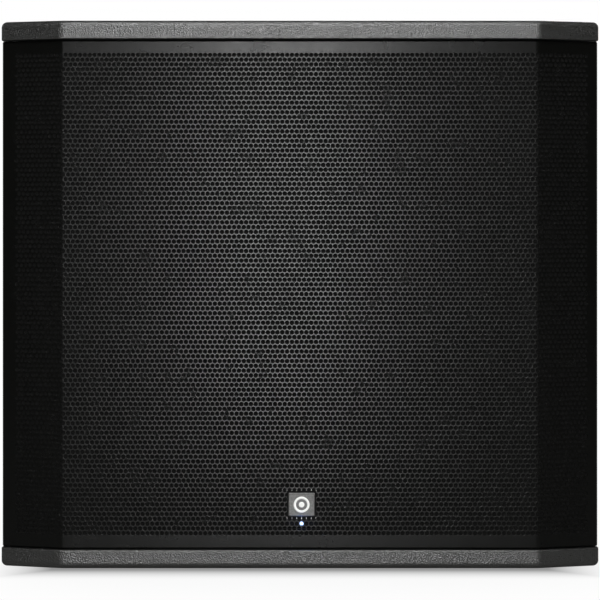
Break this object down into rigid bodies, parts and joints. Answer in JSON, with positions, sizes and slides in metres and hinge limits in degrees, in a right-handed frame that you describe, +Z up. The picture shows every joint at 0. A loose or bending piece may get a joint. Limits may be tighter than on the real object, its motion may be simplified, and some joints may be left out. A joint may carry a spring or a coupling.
{
  "type": "subwoofer cabinet",
  "caption": "Powered bass loudspeaker: plywood box with corner ports, folded perforated steel grille, large driver, rear amplifier, recessed side handles and a top pole socket.",
  "frame": {"origin": "on the floor under the middle of the cabinet's outline", "axes": "+X to the right seen from the front, +Y from the grille back to the amplifier, +Z up"},
  "size_m": [0.64, 0.7, 0.592],
  "materials": {
    "coated_plywood": "thick black polyurea coat with a fine orange-peel texture over plywood",
    "black_plywood": "plywood, brushed with thin black paint",
    "plain_plywood": "bare birch plywood",
    "grille_coat": "black powder coat, satin, on perforated steel",
    "foam": "black open-cell foam sheet",
    "black_screws": "black zinc plated",
    "badge_metal": "dark anodised, brushed, bright chamfered edge",
    "black_steel": "flat black",
    "led_white": "clear lens, lit cool white",
    "cast_basket": "die-cast, satin black",
    "zinc_steel": "turned and zinc plated",
    "ferrite": "fired ferrite, matt dark grey",
    "cone_paper": "pressed pulp, dark, faintly ribbed",
    "cloth": "doped woven cloth",
    "spider_cloth": "resin-treated woven cloth",
    "coil_former": "wound polyimide and glass former",
    "copper": "enamelled copper wire",
    "gasket_foam": "closed-cell foam",
    "terminal_plastic": "moulded",
    "amp_face": "black powder coat",
    "cover_metal": "plain folded sheet",
    "sink_metal": "black anodised extrusion",
    "circuit_board": "solder-masked glass laminate",
    "wound_core": "ferrite core with taped copper windings",
    "brass_posts": "machined",
    "knob_plastic": "moulded, with a pale pointer line",
    "button_plastic": "moulded grey",
    "socket_plastic": "glass-filled, moulded",
    "latch_metal": "plated",
    "rocker_plastic": "moulded",
    "handle_plastic": "glass-filled, fine-grained",
    "grip_rubber": "soft-touch sleeve on a steel rod",
    "cast_socket": "die-cast, black",
    "foot_rubber": "moulded",
    "lead_jacket": "PVC jacket"
  },
  "bodies": {
    "cabinet": {"top_panel": "coated_plywood", "bottom_panel": "coated_plywood", "left_side_panel": "coated_plywood", "right_side_panel": "coated_plywood", "rear_panel": "coated_plywood", "baffle": "black_plywood", "port_board_upper_right": "black_plywood", "port_board_upper_left": "black_plywood", "port_board_lower_right": "black_plywood", "port_board_lower_left": "black_plywood", "window_brace": "plain_plywood", "grille": "grille_coat", "grille_foam": "foam", "grille_screws": "black_screws", "badge": "badge_metal", "badge_bracket": "black_steel", "front_led": "led_white", "led_lead": "lead_jacket", "driver_basket": "cast_basket", "driver_gasket": "gasket_foam", "driver_fixings": "black_screws", "driver_terminals": "terminal_plastic", "magnet_top_plate": "zinc_steel", "ferrite_magnet": "ferrite", "pole_back_plate": "zinc_steel", "speaker_lead": "lead_jacket", "amp_gasket": "gasket_foam", "amp_plate": "amp_face", "amp_screws": "black_screws", "amp_cover": "cover_metal", "heat_sink": "sink_metal", "amp_board": "circuit_board", "power_supply_board": "circuit_board", "transformer": "wound_core", "board_standoffs": "brass_posts", "input_board": "circuit_board", "combo_jacks": "socket_plastic", "xlr_outputs": "socket_plastic", "iec_inlet": "socket_plastic", "switch_frame": "socket_plastic", "handle_cup_right": "handle_plastic", "handle_cup_left": "handle_plastic", "handle_bar_right": "grip_rubber", "handle_bar_left": "grip_rubber", "pole_socket": "cast_socket", "feet": "foot_rubber", "wood_screws": "black_screws"},
    "cone_assembly": {"cone": "cone_paper", "dust_cap": "cone_paper", "voice_coil_former": "coil_former", "voice_coil_winding": "copper", "surround": "cloth", "spider": "spider_cloth"},
    "level_knob": {"level_knob": "knob_plastic"},
    "lowpass_knob": {"lowpass_knob": "knob_plastic"},
    "polarity_button": {"polarity_button": "button_plastic"},
    "led_button": {"led_button": "button_plastic"},
    "combo_latch_1": {"combo_latch_1": "latch_metal"},
    "combo_latch_2": {"combo_latch_2": "latch_metal"},
    "power_rocker": {"power_rocker": "rocker_plastic"}
  },
  "joints": [
    {"name": "cone_excursion", "type": "slide", "parent": "cabinet", "child": "cone_assembly", "axis": [0, -1, 0], "range_m": [-0.008, 0.008], "stiffness_N_per_m": 6000, "deforming": ["surround", "spider"]},
    {"name": "level_turn", "type": "hinge", "parent": "cabinet", "child": "level_knob", "pos_m": [-0.062, 0.33, 0.45], "axis": [0, 1, 0], "range_deg": [-150, 150]},
    {"name": "lowpass_turn", "type": "hinge", "parent": "cabinet", "child": "lowpass_knob", "pos_m": [-0.116, 0.33, 0.45], "axis": [0, 1, 0], "range_deg": [-150, 150]},
    {"name": "polarity_press", "type": "slide", "parent": "cabinet", "child": "polarity_button", "axis": [0, -1, 0], "range_m": [0, 0.0015], "stiffness_N_per_m": 800},
    {"name": "led_press", "type": "slide", "parent": "cabinet", "child": "led_button", "axis": [0, -1, 0], "range_m": [0, 0.0015], "stiffness_N_per_m": 800},
    {"name": "latch_1_press", "type": "slide", "parent": "cabinet", "child": "combo_latch_1", "axis": [0, 0, -1], "range_m": [0, 0.0012], "stiffness_N_per_m": 1500},
    {"name": "latch_2_press", "type": "slide", "parent": "cabinet", "child": "combo_latch_2", "axis": [0, 0, -1], "range_m": [0, 0.0012], "stiffness_N_per_m": 1500},
    {"name": "power_rock", "type": "hinge", "parent": "cabinet", "child": "power_rocker", "pos_m": [0.04, 0.323, 0.115], "axis": [1, 0, 0], "range_deg": [-14, 0]}
  ]
}
